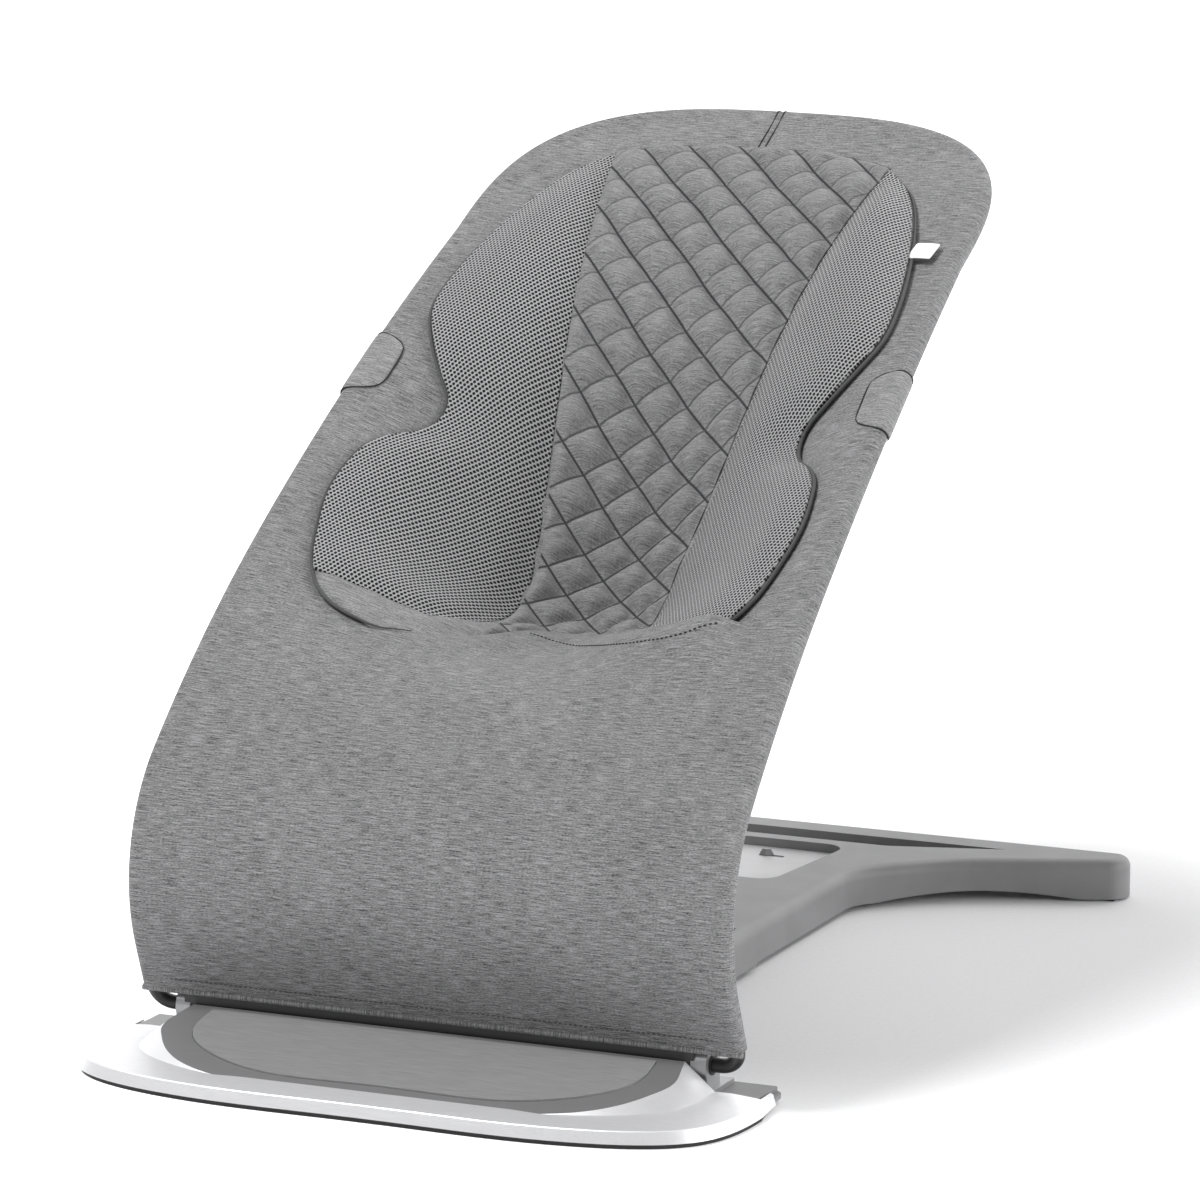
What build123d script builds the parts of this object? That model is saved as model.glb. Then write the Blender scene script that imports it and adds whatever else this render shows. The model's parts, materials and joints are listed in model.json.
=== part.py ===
from build123d import *
import math
import os

# Baby bouncer seat. Millimetres. X to the sitter's right when seen from the front, +Y to the rear,
# +Z up, floor at Z = 0. The front plate is at -Y, the origin is on the floor under the seat's hinge.

# Seat frame: side view, from the hinge axis upwards
HINGE_Y = 3.0
HINGE_Z = 25.0
START_ANGLE = 112.0      # direction of the frame where it leaves the hinge
LEG_LENGTH = 46.0        # straight part above the hinge
BELLY_RADIUS = 105.0     # forward C-curve
BELLY_END_ANGLE = 45.0
WAIST_RADIUS = 963.0
WAIST_END_ANGLE = 35.0
BACK_RADIUS = 2110.0
TOP_S = 808.0            # length of the side view's line up to the top tube
CORNER_S = 650.0         # where the top corners begin
CORNER_POWER = 3.0
FOOT_HALF_WIDTH = 195.0
CORNER_HALF_WIDTH = 171.0
TUBE_R = 4.5
TUBE_WALL = 1.2
BEND_R = 12.0
TUBE_SPLIT_S = 502.0    # where the upper tube plugs into the lower one
TUBE_GAP = 0.4
SPIGOT_HALF_LENGTH = 26.0

# Sling
SAG = 108.0              # deepest point below the frame's side view line
SAG_S = 390.0
SAG_SPREAD_DOWN = 100.0
SAG_SPREAD_UP = 200.0
HEM_S = 16.0
POUCH_END_S = 335.0
FABRIC_LIFT = 5.2        # underside of the fabric above the tubes' centre line
FABRIC_T = 2.8
FABRIC_OVERHANG = 6.0
FLAP_START_S = 475.0
FLAP_END_S = 530.0
FLAP_WIDTH = 30.0
FLAP_T = 1.6

# Padded insert on the sling
PAD_GAP = 0.9
PAD_SEAM_GAP = 1.8       # between the quilted centre and the mesh sides
PAD_LOW = FABRIC_LIFT + FABRIC_T + PAD_GAP
PAD_T = 8.0
MESH_T = 10.0
MESH_INSET = 3.0         # mesh inside the insert's outline
PIPING_OFFSET = 2.3      # piping outside it
PIPING_R = 1.8
QUILT_EXTRA_S = 34.0     # the quilted centre runs further up than the mesh
PAD_STATIONS = (
    # distance along the side view's line, half width of the padded insert
    (345, 148), (385, 158), (430, 150), (475, 124), (500, 127),
    (550, 153), (580, 155), (630, 149), (680, 135), (720, 115),
)
PAD_START_S = PAD_STATIONS[0][0]
PAD_END_S = PAD_STATIONS[-1][0]
TAG_X = 159.0
TAG_S = 652.0
TAG_SIZE = (17.0, 15.0, 0.8)

# Recline lock
SECTOR_R = 18.0
SECTOR_HUB_R = 8.5
SECTOR_HALF_WIDTH = 5.0
SECTOR_LOW_ANGLE = -24.0
SECTOR_HIGH_ANGLE = 42.0
NOTCH_ANGLES = (0.0, -8.0, -16.0, 34.0)
NOTCH_WIDTH = 1.6
NOTCH_DEPTH = 3.4
BLADE_T = 1.1
BLADE_Y = 22.4
ROD_TRAVEL = 4.0
LEVER_TRAVEL = 8.0
LEVER_Y = 515.0

# Front plate
PLATE_FRONT_Y = -118.0
PLATE_HALF_WIDTH = 220.0
PLATE_REAR_Y = 14.0
TRAY_REAR_Y = 30.0
PLATE_TOP_Z = 10.5       # top of the rim
BAND_TOP_Z = 12.2        # where the band inside the rim meets the ramp
RUBBER_T = 3.0
RAMP_FRONT_Y = -92.0
RAMP_FRONT_Z = 12.5
RAMP_REAR_Y = -9.0
RAMP_REAR_Z = 28.5
TRAY_T = 2.6
TRAY_INSET = 3.4         # tray inside the plate's outline
TRAY_CORNER_T = 5.2      # thicker corners that carry the brackets
BRACKET_X = 172.0
BRACKET_T = 10.0
BRACKET_LOW_Z = RUBBER_T + TRAY_CORNER_T + 0.1
BRACKET_FOOT_T = 3.0
BRACKET_HEAD_R = 11.0
BUSH_R = 6.45

# Spine and rear base
SPINE_HALF_WIDTH = 80.0
SPINE_FRONT_Y = 24.0
SPINE_END_Y = 305.0
SPINE_TOP_Z = 31.0
SPINE_FLOOR_Z = 4.0
WALL = 2.5
REAR_HALF_WIDTH = 77.0
REAR_TOP_Z = 28.0
REAR_Y = 597.0
TIP_HALF_WIDTH = 234.0
TONGUE_FRONT_Y = 248.0
HATCH_FRONT_Y = 430.0
HATCH_REAR_Y = 538.0
HATCH_HALF_WIDTH = 50.0
HATCH_TOP_Z = 22.0
HATCH_T = 2.5
LEVER_HALF_LENGTH = 5.5
LEVER_HALF_WIDTH = 3.2
LEVER_NECK = 3.5
GROOVE_R = 5.0           # scoop along the arms' front wall
GROOVE_Z = 21.5
CATCH_X = 64.0
CATCH_FRONT_Y = 286.0
CATCH_REAR_Y = 290.0
SPINE_SCREWS = [(x, y) for x in (-45, 45) for y in (95, 225)]
REAR_SCREWS = [(x, y) for x in (-60, 60) for y in (330, 455)]


def arc_end(y, z, radius, a0, a1):
    """End of an arc that turns clockwise from direction a0 to a1, both in degrees."""
    centre_y = y + radius * math.sin(math.radians(a0))
    centre_z = z - radius * math.cos(math.radians(a0))
    end_y = centre_y - radius * math.sin(math.radians(a1))
    end_z = centre_z + radius * math.cos(math.radians(a1))
    return end_y, end_z


def side_line(s):
    """Point (y, z) and direction angle of the frame's side view, s mm above the hinge."""
    y, z, angle = HINGE_Y, HINGE_Z, START_ANGLE
    run = min(s, LEG_LENGTH)
    y += run * math.cos(math.radians(angle))
    z += run * math.sin(math.radians(angle))
    left = s - run
    arcs = (
        (BELLY_RADIUS, BELLY_END_ANGLE),
        (WAIST_RADIUS, WAIST_END_ANGLE),
        (BACK_RADIUS, 0.0),
    )
    for radius, end_angle in arcs:
        if left <= 0:
            break
        full = radius * math.radians(angle - end_angle)
        step = min(left, full)
        next_angle = angle - math.degrees(step / radius)
        y, z = arc_end(y, z, radius, angle, next_angle)
        angle = next_angle
        left -= step
    return y, z, angle


def half_width(s):
    """Half width of the frame, to the tube's centre, along the side view's line."""
    drop = FOOT_HALF_WIDTH - CORNER_HALF_WIDTH
    if s <= CORNER_S:
        return FOOT_HALF_WIDTH - drop * (max(s, 0.0) / CORNER_S) ** 1.7
    t = min((s - CORNER_S) / (TOP_S - CORNER_S), 1.0)
    return CORNER_HALF_WIDTH * (1 - t**CORNER_POWER) ** (1 / CORNER_POWER)


def sag(s):
    """Depth of the sling's middle below the frame's side view line: none at the top tube."""
    spread = SAG_SPREAD_DOWN if s < SAG_S else SAG_SPREAD_UP
    at_top = math.exp(-(((TOP_S - SAG_S) / SAG_SPREAD_UP) ** 2))
    t = max(s - SAG_S, 0.0) / (TOP_S - SAG_S)
    return SAG * (math.exp(-(((s - SAG_S) / spread) ** 2)) - at_top * t * t)


def on_frame(x, s, lift):
    """Point at x, lifted square to the frame's side view line, towards the sitter."""
    y, z, angle = side_line(s)
    a = math.radians(angle)
    return (x, y - lift * math.sin(a), z + lift * math.cos(a))


def on_sling(x, s, lift):
    """Point on the sagging sling, lifted towards the sitter."""
    reach = half_width(min(s, CORNER_S)) + 1.0
    u = min(abs(x) / reach, 1.0)
    return on_frame(x, s, lift - sag(s) * (1 - u * u) ** 2)


def sling_section(s, x0, x1, low, high, count=9):
    xs = [x0 + (x1 - x0) * i / (count - 1) for i in range(count)]
    upper = [on_sling(x, s, high) for x in xs]
    lower = [on_sling(x, s, low) for x in reversed(xs)]
    edges = [
        Edge.make_spline([Vector(*p) for p in upper]),
        Edge.make_line(upper[-1], lower[0]),
        Edge.make_spline([Vector(*p) for p in lower]),
        Edge.make_line(lower[-1], upper[0]),
    ]
    return Wire(edges)


def sheet(stations, span, low, high, count=9):
    """Loft of sling sections: span(s) gives the x range at each station."""
    wires = [sling_section(s, *span(s), low, high, count) for s in stations]
    return Solid.make_loft(wires)


def steps(start, end, count):
    return [start + (end - start) * i / count for i in range(count + 1)]


def box(x0, x1, y0, y1, z0, z1):
    size = Box(x1 - x0, y1 - y0, z1 - z0)
    return Pos((x0 + x1) / 2, (y0 + y1) / 2, (z0 + z1) / 2) * size


def upright(radius, x, y, z0, z1):
    return Pos(x, y, (z0 + z1) / 2) * Cylinder(radius, z1 - z0)


def across(radius, x0, x1, y, z):
    return Pos((x0 + x1) / 2, y, z) * Rot(0, 90, 0) * Cylinder(radius, x1 - x0)


def both_sides(shape):
    return [shape, mirror(shape, about=Plane.YZ)]


# ---------------------------------------------------------------- seat frame


def tube_along(path, radius, wall):
    start = path.position_at(0)
    section_plane = Plane(origin=start, z_dir=path.tangent_at(0))
    outer = sweep(section_plane * Circle(radius), path=path)
    inner = sweep(section_plane * Circle(radius - wall), path=path)
    return outer - inner


def leg_edges(side):
    """Bend out of the cross tube, and the leg up to the split, on one side."""
    bend_x = side * (FOOT_HALF_WIDTH - BEND_R)
    corner = on_frame(side * FOOT_HALF_WIDTH, BEND_R, 0)
    a = math.radians(START_ANGLE)
    half = math.radians(45)
    middle = (
        bend_x + side * BEND_R * math.sin(half),
        HINGE_Y + BEND_R * (1 - math.cos(half)) * math.cos(a),
        HINGE_Z + BEND_R * (1 - math.cos(half)) * math.sin(a),
    )
    bend = Edge.make_three_point_arc((bend_x, HINGE_Y, HINGE_Z), middle, corner)
    stations = [BEND_R, LEG_LENGTH] + steps(LEG_LENGTH + 20, TUBE_SPLIT_S - TUBE_GAP / 2, 16)
    points = [Vector(*on_frame(side * half_width(s), s, 0)) for s in stations]
    points[0] = Vector(*corner)
    end = points[-1] - points[-2]
    rise = Vector(0, math.cos(a), math.sin(a))
    leg = Edge.make_spline(points, tangents=[rise, end.normalized()])
    return bend, leg


def lower_frame_tube():
    right_bend, right_leg = leg_edges(1)
    left_bend, left_leg = leg_edges(-1)
    bend_x = FOOT_HALF_WIDTH - BEND_R
    cross = Edge.make_line((-bend_x, HINGE_Y, HINGE_Z), (bend_x, HINGE_Y, HINGE_Z))
    path = Wire([left_leg, left_bend, cross, right_bend, right_leg])
    return tube_along(path, TUBE_R, TUBE_WALL)


def upper_frame_tube():
    sides = steps(TUBE_SPLIT_S + TUBE_GAP / 2, CORNER_S - 10, 4)
    right = [(half_width(s), s) for s in sides]
    for i in range(1, 8):
        t = math.radians(90 * i / 8)
        x = CORNER_HALF_WIDTH * math.cos(t) ** (2 / CORNER_POWER)
        s = CORNER_S + (TOP_S - CORNER_S) * math.sin(t) ** (2 / CORNER_POWER)
        right.append((x, s))
    left = [(-x, s) for x, s in reversed(right)]
    line = right + [(0.0, TOP_S)] + left
    points = [Vector(*on_frame(x, s, 0)) for x, s in line]
    start = (points[1] - points[0]).normalized()
    end = (points[-1] - points[-2]).normalized()
    path = Wire([Edge.make_spline(points, tangents=[start, end])])
    return tube_along(path, TUBE_R, TUBE_WALL)


def frame_spigot(side):
    stations = steps(TUBE_SPLIT_S - SPIGOT_HALF_LENGTH, TUBE_SPLIT_S + SPIGOT_HALF_LENGTH, 4)
    points = [Vector(*on_frame(side * half_width(s), s, 0)) for s in stations]
    path = Wire([Edge.make_spline(points)])
    section = Plane(origin=path.position_at(0), z_dir=path.tangent_at(0))
    return sweep(section * Circle(TUBE_R - TUBE_WALL - 0.15), path=path)


def lock_sector():
    """Sector welded to the cross tube, with one notch for each position of the seat."""
    hub = across(SECTOR_HUB_R, -SECTOR_HALF_WIDTH, SECTOR_HALF_WIDTH, HINGE_Y, HINGE_Z)
    low, high = math.radians(SECTOR_LOW_ANGLE), math.radians(SECTOR_HIGH_ANGLE)
    middle = (low + high) / 2

    def rim(angle):
        return (0, HINGE_Y + SECTOR_R * math.cos(angle), HINGE_Z + SECTOR_R * math.sin(angle))

    centre = (0, HINGE_Y, HINGE_Z)
    arc = Edge.make_three_point_arc(rim(low), rim(middle), rim(high))
    outline = Wire([Edge.make_line(centre, rim(low)), arc, Edge.make_line(rim(high), centre)])
    blade = extrude(Face(outline), amount=SECTOR_HALF_WIDTH, dir=(1, 0, 0), both=True)
    sector = hub + blade
    for angle in NOTCH_ANGLES:
        notch = Box(4 * SECTOR_HALF_WIDTH, 2 * NOTCH_DEPTH, NOTCH_WIDTH)
        sector -= Pos(0, HINGE_Y, HINGE_Z) * Rot(angle, 0, 0) * Pos(0, SECTOR_R, 0) * notch
    bore = across(TUBE_R + 0.02, -20, 20, HINGE_Y, HINGE_Z)
    return sector - bore


# ---------------------------------------------------------------- soft parts


def full_width(s):
    edge = half_width(s) + FABRIC_OVERHANG
    return -edge, edge


def front_pouch():
    stations = [HEM_S, LEG_LENGTH] + steps(80, POUCH_END_S, 7)
    return sheet(stations, full_width, FABRIC_LIFT, FABRIC_LIFT + FABRIC_T, 11)


def seat_sling():
    """Upper part of the sling, with rounded top corners."""
    stations = steps(POUCH_END_S + PAD_GAP, TOP_S + FABRIC_OVERHANG, 9)
    widest = FOOT_HALF_WIDTH + FABRIC_OVERHANG

    def span(s):
        edge = half_width(min(s, CORNER_S)) + FABRIC_OVERHANG
        return -edge, edge

    cloth = sheet(stations, span, FABRIC_LIFT, FABRIC_LIFT + FABRIC_T, 11)
    # Seen square to the upper back, the corners follow the top tube.
    centre_s = (CORNER_S + TOP_S) / 2
    y, z, angle = side_line(centre_s)
    a = math.radians(angle)
    plane = Plane(origin=(0, y, z), x_dir=(1, 0, 0), z_dir=(0, -math.sin(a), math.cos(a)))
    edge = []
    for i in range(9):
        t = math.radians(90 * i / 8)
        x = (CORNER_HALF_WIDTH + FABRIC_OVERHANG) * math.cos(t) ** (2 / CORNER_POWER)
        rise = (TOP_S - CORNER_S + FABRIC_OVERHANG) * math.sin(t) ** (2 / CORNER_POWER)
        edge.append((x, CORNER_S + rise - centre_s))
    low = POUCH_END_S - centre_s - 200
    curve = Spline([*edge, *[(-x, v) for x, v in reversed(edge[:-1])]])
    rest = Polyline(
        [edge[0], (widest + 5, edge[0][1]), (widest + 5, low), (-widest - 5, low),
         (-widest - 5, edge[0][1]), (-edge[0][0], edge[0][1])]
    )
    outline = plane * make_face([*curve.edges(), *rest.edges()])
    return cloth & extrude(outline, amount=150, both=True)


def quilt_edge(s):
    """Half width of the quilted centre: it widens towards the top."""
    return 47 + 0.14 * max(s - 400, 0)


def pad_half_width(s):
    """Half width of the padded insert, eased between its stations."""
    for (s0, w0), (s1, w1) in zip(PAD_STATIONS, PAD_STATIONS[1:]):
        if s <= s1:
            t = (s - s0) / (s1 - s0)
            return w0 + (w1 - w0) * t * t * (3 - 2 * t)
    return PAD_STATIONS[-1][1]


def quilt_panel():
    stations = steps(PAD_START_S, PAD_END_S, 16) + [PAD_END_S + QUILT_EXTRA_S]
    return sheet(stations, lambda s: (-quilt_edge(s), quilt_edge(s)), PAD_LOW, PAD_LOW + PAD_T, 9)


def mesh_panel(side):
    def span(s):
        inner, outer = quilt_edge(s) + PAD_SEAM_GAP, pad_half_width(s) - MESH_INSET
        return (inner, outer) if side > 0 else (-outer, -inner)

    return sheet(steps(PAD_START_S, PAD_END_S, 16), span, PAD_LOW, PAD_LOW + MESH_T, 7)


def pad_piping():
    """Round piping along both outer edges of the padded insert."""
    lift = PAD_LOW + PIPING_R + 0.1
    stations = steps(PAD_START_S, PAD_END_S, 16)
    points = [Vector(*on_sling(pad_half_width(s) + PIPING_OFFSET, s, lift)) for s in stations]
    path = Wire([Edge.make_spline(points)])
    section = Plane(origin=path.position_at(0), z_dir=path.tangent_at(0))
    return Compound(both_sides(sweep(section * Circle(PIPING_R), path=path)))


def tab_flap(side):
    """Flap of cloth over the joint of the frame's tubes."""
    def span(s):
        outer = half_width(s) + FABRIC_OVERHANG
        inner = outer - FLAP_WIDTH
        return (inner, outer) if side > 0 else (-outer, -inner)

    return sheet(steps(FLAP_START_S, FLAP_END_S, 3), span, PAD_LOW, PAD_LOW + FLAP_T, 5)


def hem_binding():
    centre = on_frame(0, HEM_S - 3.0, FABRIC_LIFT + FABRIC_T / 2)
    reach = FOOT_HALF_WIDTH + FABRIC_OVERHANG - 1
    return across(2.0, -reach, reach, centre[1], centre[2])


def label_tag():
    """Small blank tag sewn in beside the pad."""
    centre = Vector(*on_sling(TAG_X, TAG_S, PAD_LOW + TAG_SIZE[2] / 2))
    angle = side_line(TAG_S)[2]
    return Pos(centre) * Rot(angle, 0, 0) * Box(*TAG_SIZE)


# ---------------------------------------------------------------- front plate


def plate_outline(inset, rear):
    """Plate seen from above: a slightly bowed front, wide soft corners, straight rear."""
    front = PLATE_FRONT_Y + inset
    side = PLATE_HALF_WIDTH - inset
    soft = 98.0
    rear_side = side - 8
    right_front = (side - soft - 4, front + 1.0)
    points = Spline(
        [(0, front), right_front, (side - 26, front + 24), (side - 1, front + soft)],
        tangents=[(1, 0), (0, 1)],
    )
    right_side = Line((side - 1, front + soft), (rear_side + 4, rear - 8))
    corner = ThreePointArc(
        (rear_side + 4, rear - 8), (rear_side + 1.5, rear - 2), (rear_side - 6, rear)
    )
    half_rear = Line((rear_side - 6, rear), (0, rear))
    right = [points, right_side, corner, half_rear]
    left = [mirror(e, about=Plane.YZ) for e in right]
    return make_face([e for c in right + left for e in c.edges()])


def ramp_outline(inset):
    half = 192.0 - inset
    front = PLATE_FRONT_Y + 13 + inset
    soft = 74.0 - 0.3 * inset
    side_y = RAMP_REAR_Y - 20
    rear = RAMP_REAR_Y + 60
    curve = Spline(
        [(0, front), (half - soft, front + 3), (half - 16, front + 26), (half, side_y)],
        tangents=[(1, 0), (0.0, 1)],
    )
    right = [curve, Line((half, side_y), (half, rear)), Line((half, rear), (0, rear))]
    left = [mirror(e, about=Plane.YZ) for e in right]
    return make_face([e for c in right + left for e in c.edges()])


def ramp(inset, top_drop):
    """Ramp that rises from the plate to the seat, with sloping sides."""
    wedge = loft([Pos(0, 0, 5) * ramp_outline(inset), Pos(0, 0, 37) * ramp_outline(inset + 38)])
    run = RAMP_REAR_Y - RAMP_FRONT_Y
    slope = math.degrees(math.atan2(RAMP_REAR_Z - RAMP_FRONT_Z, run))
    above = Pos(0, RAMP_FRONT_Y, RAMP_FRONT_Z - top_drop) * Rot(slope, 0, 0) * Pos(0, 0, 100)
    behind = box(-300, 300, RAMP_REAR_Y, 200, 0, 100)
    return wedge - above * Box(800, 800, 200) - behind


def inlay_outline(inset):
    half = 152.0 - inset
    rear = -14.0
    front = -86.0 + inset
    curve = Spline(
        [(0, front), (half - 52, front + 6), (half - 9, front + 34), (half - 4, rear)],
        tangents=[(1, 0), (-0.15, 1)],
    )
    right = [curve, Line((half - 4, rear), (0, rear))]
    left = [mirror(e, about=Plane.YZ) for e in right]
    return make_face([e for c in right + left for e in c.edges()])


def ramp_slab(outline, low, high):
    """Slab on the ramp's slope, between two heights above it."""
    column = extrude(outline, amount=80)
    run = RAMP_REAR_Y - RAMP_FRONT_Y
    slope = math.degrees(math.atan2(RAMP_REAR_Z - RAMP_FRONT_Z, run))
    place = Pos(0, RAMP_FRONT_Y, RAMP_FRONT_Z) * Rot(slope, 0, 0)
    layer = place * Pos(0, 0, (low + high) / 2) * Box(600, 400, high - low)
    return column & layer


def front_plate_cover():
    """Pressed aluminium plate: upright rim, gently rising band, ramp."""
    levels = ((0.0, RUBBER_T), (2.1, PLATE_TOP_Z - 0.5), (2.7, PLATE_TOP_Z), (24.0, BAND_TOP_Z))
    plate = ramp(0, 0)
    for (inset0, z0), (inset1, z1) in zip(levels, levels[1:]):
        lower = Pos(0, 0, z0) * plate_outline(inset0, PLATE_REAR_Y)
        upper = Pos(0, 0, z1) * plate_outline(inset1, PLATE_REAR_Y)
        plate += loft([lower, upper])
    plate -= ramp_slab(inlay_outline(0), -0.8, 4)
    # Hollow from below, round the tray
    hollow = extrude(Pos(0, 0, RUBBER_T - 1) * plate_outline(3.0, TRAY_REAR_Y + 12), amount=5.4)
    plate -= hollow
    ramp_hollow = ramp(9, 3.0)
    plate -= ramp_hollow & box(-300, 300, -300, RAMP_REAR_Y - 2.5, 0, 100)
    # Clear of the brackets, the hinge tube and the spine
    plate -= box(-300, 300, RAMP_REAR_Y, 60, PLATE_TOP_Z - 2, 60)
    for sign in (1, -1):
        x = sign * (BRACKET_X + 8)
        plate -= box(x - 30, x + 30, -8, 60, 0, 60)
    return plate


def front_plate_inlay():
    return ramp_slab(inlay_outline(0.4), -0.75, 0.9)


def front_tray():
    """Plastic tray under the plate, with the bosses for the brackets and the spine."""
    outline = Pos(0, 0, RUBBER_T) * plate_outline(TRAY_INSET, TRAY_REAR_Y)
    tray = extrude(outline, amount=TRAY_T)
    for sign in (1, -1):
        x = sign * (BRACKET_X + 7.5)
        top = RUBBER_T + TRAY_CORNER_T
        corner = box(x - 28.5, x + 28.5, -7.5, TRAY_REAR_Y, RUBBER_T, top)
        tray += corner & extrude(outline, amount=TRAY_CORNER_T + 1)
    tray += box(-60, 60, TRAY_REAR_Y - 4, 70, RUBBER_T, RUBBER_T + TRAY_T)
    return tray


def front_rubber_strip():
    pad = extrude(plate_outline(1.5, 4), amount=RUBBER_T)
    return pad - extrude(plate_outline(26, -14), amount=RUBBER_T)


def pivot_bracket(side):
    """Upright tab with the bush's bore, on a foot screwed to the tray."""
    low = BRACKET_LOW_Z
    x = side * BRACKET_X
    x0, x1 = x - BRACKET_T / 2, x + BRACKET_T / 2
    head = across(BRACKET_HEAD_R, x0, x1, HINGE_Y, HINGE_Z)
    neck = box(x0, x1, HINGE_Y - 9, HINGE_Y + BRACKET_HEAD_R, low, HINGE_Z)
    foot = box(x - 18, x + 9, HINGE_Y - 9, HINGE_Y + 24, low, low + BRACKET_FOOT_T)
    if side < 0:
        foot = box(x - 9, x + 18, HINGE_Y - 9, HINGE_Y + 24, low, low + BRACKET_FOOT_T)
    body = head + neck + foot
    body -= across(BUSH_R + 0.05, x - 20, x + 20, HINGE_Y, HINGE_Z)
    return body - upright(1.7, side * (BRACKET_X - 12), HINGE_Y + 18, 0, 30)


def hinge_bush(side):
    x = side * BRACKET_X
    bush = across(BUSH_R, x - BRACKET_T / 2 - 0.6, x + BRACKET_T / 2 + 0.6, HINGE_Y, HINGE_Z)
    return bush - across(TUBE_R + 0.06, x - 20, x + 20, HINGE_Y, HINGE_Z)


def screw(x, y, z_head, length, up):
    """Pan head screw; up = 1 points its head upwards."""
    head = upright(3.0, x, y, z_head, z_head + 1.8)
    shank = upright(1.5, x, y, z_head - length, z_head)
    if up < 0:
        head = upright(3.0, x, y, z_head - 1.8, z_head)
        shank = upright(1.5, x, y, z_head, z_head + length)
    return head + shank


def bracket_screws():
    low = BRACKET_LOW_Z + BRACKET_FOOT_T + 0.05
    parts = [screw(s * (BRACKET_X - 12), HINGE_Y + 18, low, 3.0, 1) for s in (1, -1)]
    return Compound(parts)


# ---------------------------------------------------------------- spine


def channel(half, y0, y1, z0, z1, radius):
    """Upside-down channel with rounded upper edges."""
    outer = box(-half, half, y0, y1, z0, z1)
    top = outer.edges().filter_by(Axis.Y).group_by(Axis.Z)[-1]
    outer = fillet(top, radius)
    inner = box(-half + WALL, half - WALL, y0 - 1, y1 + 1, z0 - 1, z1 - WALL)
    top_in = inner.edges().filter_by(Axis.Y).group_by(Axis.Z)[-1]
    inner = fillet(top_in, radius - WALL)
    return outer - inner


def catch_slot(sign):
    x = sign * CATCH_X
    return box(x - 8, x + 8, CATCH_FRONT_Y, CATCH_REAR_Y, 19, 40)


def spine_front_cover():
    body = channel(SPINE_HALF_WIDTH, SPINE_FRONT_Y, SPINE_END_Y, SPINE_FLOOR_Z, SPINE_TOP_Z, 8)
    half = SPINE_HALF_WIDTH - WALL + 0.5
    front = SPINE_FRONT_Y
    wall = box(-half, half, front, front + WALL, RUBBER_T + 5, SPINE_TOP_Z - 2)
    wall -= box(-6.5, 6.5, front - 1, front + 5, 0, HINGE_Z + 4)
    body += wall
    for sign in (1, -1):
        body -= catch_slot(sign)
    # Relief over the tray's tongue
    low = RUBBER_T + TRAY_T + 0.3
    body -= box(-61, 61, front - 1, 71, 0, low)
    body -= box(-100, 100, front - 1, TRAY_REAR_Y + 0.4, 0, low)
    return body


def spine_front_base():
    """Closing plate under the front section, with the rod's guide ribs."""
    half = SPINE_HALF_WIDTH - WALL - 0.3
    plate = box(-half, half, 71.5, SPINE_END_Y - 2, SPINE_FLOOR_Z, SPINE_FLOOR_Z + 2)
    for y in (110, 200):
        for x in (-8, 5.6):
            plate += box(x, x + 2.4, y, y + 24, SPINE_FLOOR_Z + 1, 14)
    for x, y in SPINE_SCREWS:
        plate += upright(3.6, x, y, SPINE_FLOOR_Z, 18)
        plate -= upright(1.7, x, y, 0, 16.5)
    return plate


def rear_outline(inset):
    """Rear part from above: parallel sides, arms swept out to the tips, straight rear."""
    half = REAR_HALF_WIDTH - inset
    rear = REAR_Y - inset
    tip = TIP_HALF_WIDTH - inset
    front = SPINE_END_Y + 0.5 + inset
    flare = Spline(
        [(half, 462), (half + 12, 492 + inset * 0.5), (118, 519 + inset), (tip - 9, 569 + inset)],
        tangents=[(0, 1), (1, 0.42)],
    )
    end = ThreePointArc((tip - 9, 569 + inset), (tip - 1, 578), (tip - 1, 586))
    back = ThreePointArc((tip - 1, 586), (tip - 4, rear - 4), (tip - 14, rear))
    right = [
        Line((0, front), (half, front)),
        Line((half, front), (half, 462)),
        flare,
        end,
        back,
        Line((tip - 14, rear), (0, rear)),
    ]
    left = [mirror(e, about=Plane.YZ) for e in right]
    return make_face([e for c in right + left for e in c.edges()])


def hatch_outline(inset, z):
    """Trapezoid with round corners, wider at the rear."""
    half_rear = HATCH_HALF_WIDTH - inset
    half_front = HATCH_HALF_WIDTH - 12 - inset
    y0 = HATCH_FRONT_Y + inset
    y1 = HATCH_REAR_Y - inset
    shape = Polyline(
        [(-half_front, y0), (half_front, y0), (half_rear, y1), (-half_rear, y1)], close=True
    )
    face = make_face(shape.edges())
    return Pos(0, 0, z) * fillet(face.vertices(), 14 - inset)


def arm_arch():
    """Space under each arm: the base meets the floor only near the tips."""
    low = -5.0
    shape = [
        Line((84, low), (84, 2.4)),
        ThreePointArc((84, 2.4), (140, 7.0), (206, 1.4)),
        Line((206, 1.4), (206, low)),
        Line((206, low), (84, low)),
    ]
    face = Plane.XZ * make_face([e for c in shape for e in c.edges()])
    prism = extrude(face, amount=700, both=True)
    return prism & box(0, 400, 300, 700, -10, 20)


def arm_groove():
    """Scoop along the upper part of an arm's front wall; it fades out at both ends."""
    line = Spline(
        [(97, 493), (122, 513.5), (172, 537), (212, 553), (232, 556)],
        tangents=[(0.8, 1), (1, 0.0)],
    )
    path = Pos(0, 0, GROOVE_Z) * line
    section = Plane(origin=path @ 0, z_dir=path % 0)
    return sweep(section * Circle(GROOVE_R), path=path)


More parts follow.
